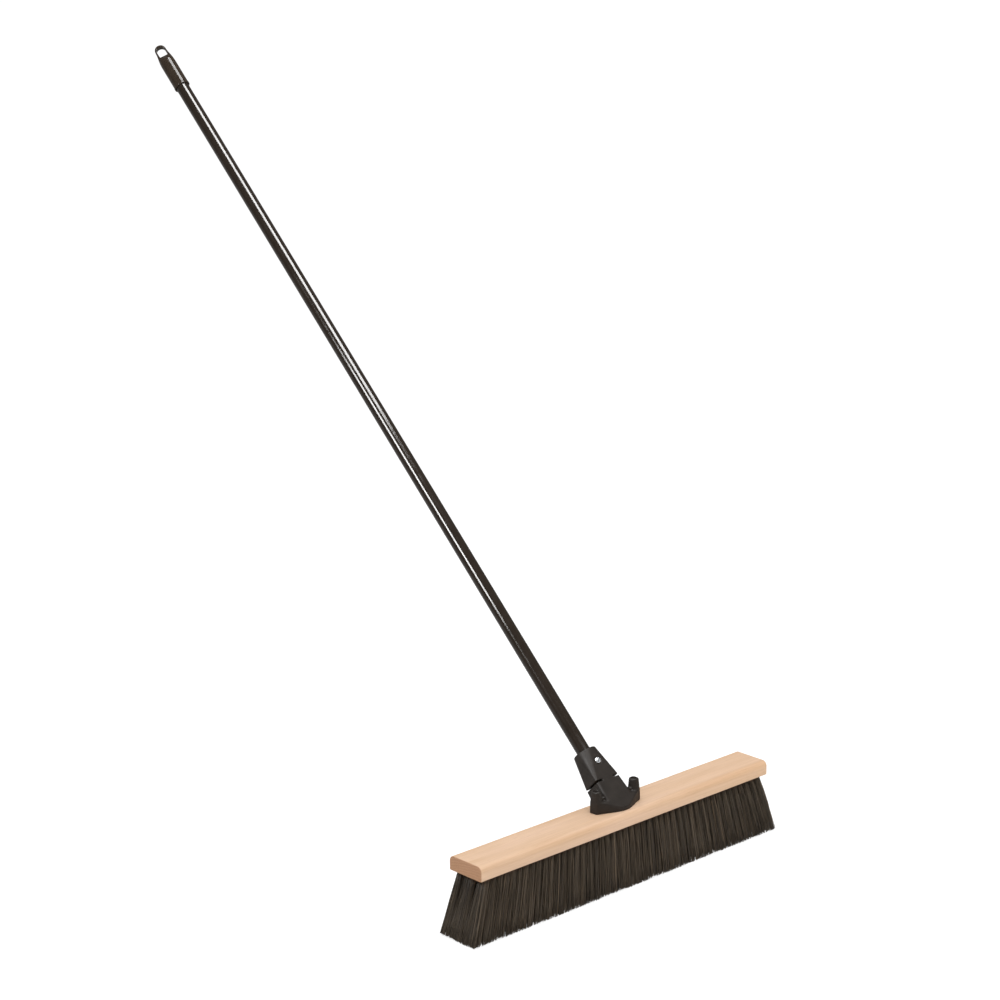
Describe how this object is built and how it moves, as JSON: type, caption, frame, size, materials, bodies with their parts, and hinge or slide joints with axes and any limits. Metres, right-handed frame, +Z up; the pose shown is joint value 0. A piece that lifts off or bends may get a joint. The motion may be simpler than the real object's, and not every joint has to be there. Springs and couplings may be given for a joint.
{
  "type": "push broom",
  "caption": "Push broom with a hardwood block, fanned tuft rows, a bracket with a flexing neck and a long leaning handle with a hang cap.",
  "frame": {"origin": "centre of the plane of the trimmed bristle tips, under the middle of the block", "axes": "+X along the block to the right as seen from the pushing side, +Y towards the side the handle leans to, +Z up"},
  "size_m": [0.648, 1.1393, 1.1951],
  "materials": {
    "wood": "satin sanded hardwood",
    "bristle": "satin filament",
    "bracket": "satin moulded",
    "zinc": "bright zinc plate",
    "paint": "gloss powder coat",
    "cap": "gloss moulded"
  },
  "bodies": {
    "head": {"block": "wood", "bristle_row_1_left": "bristle", "bristle_row_1_right": "bristle", "bristle_row_2_left": "bristle", "bristle_row_2_right": "bristle", "bristle_row_3_left": "bristle", "bristle_row_3_right": "bristle", "bristle_row_4_left": "bristle", "bristle_row_4_right": "bristle", "bristle_row_5_left": "bristle", "bristle_row_5_right": "bristle", "bracket_base": "bracket", "base_screw_left": "zinc", "base_screw_right": "zinc"},
    "handle": {"handle_socket": "bracket", "socket_bolt": "zinc", "bolt_washer": "zinc", "bolt_nut": "zinc", "handle_tube": "paint", "hang_cap": "cap"}
  },
  "joints": [
    {"name": "neck_flex", "type": "hinge", "parent": "head", "child": "handle", "pos_m": [0, 0.02697, 0.14963], "axis": [0, -0.6972, 0.7169], "range_deg": [-6, 6], "stiffness_Nm_per_rad": 300}
  ]
}
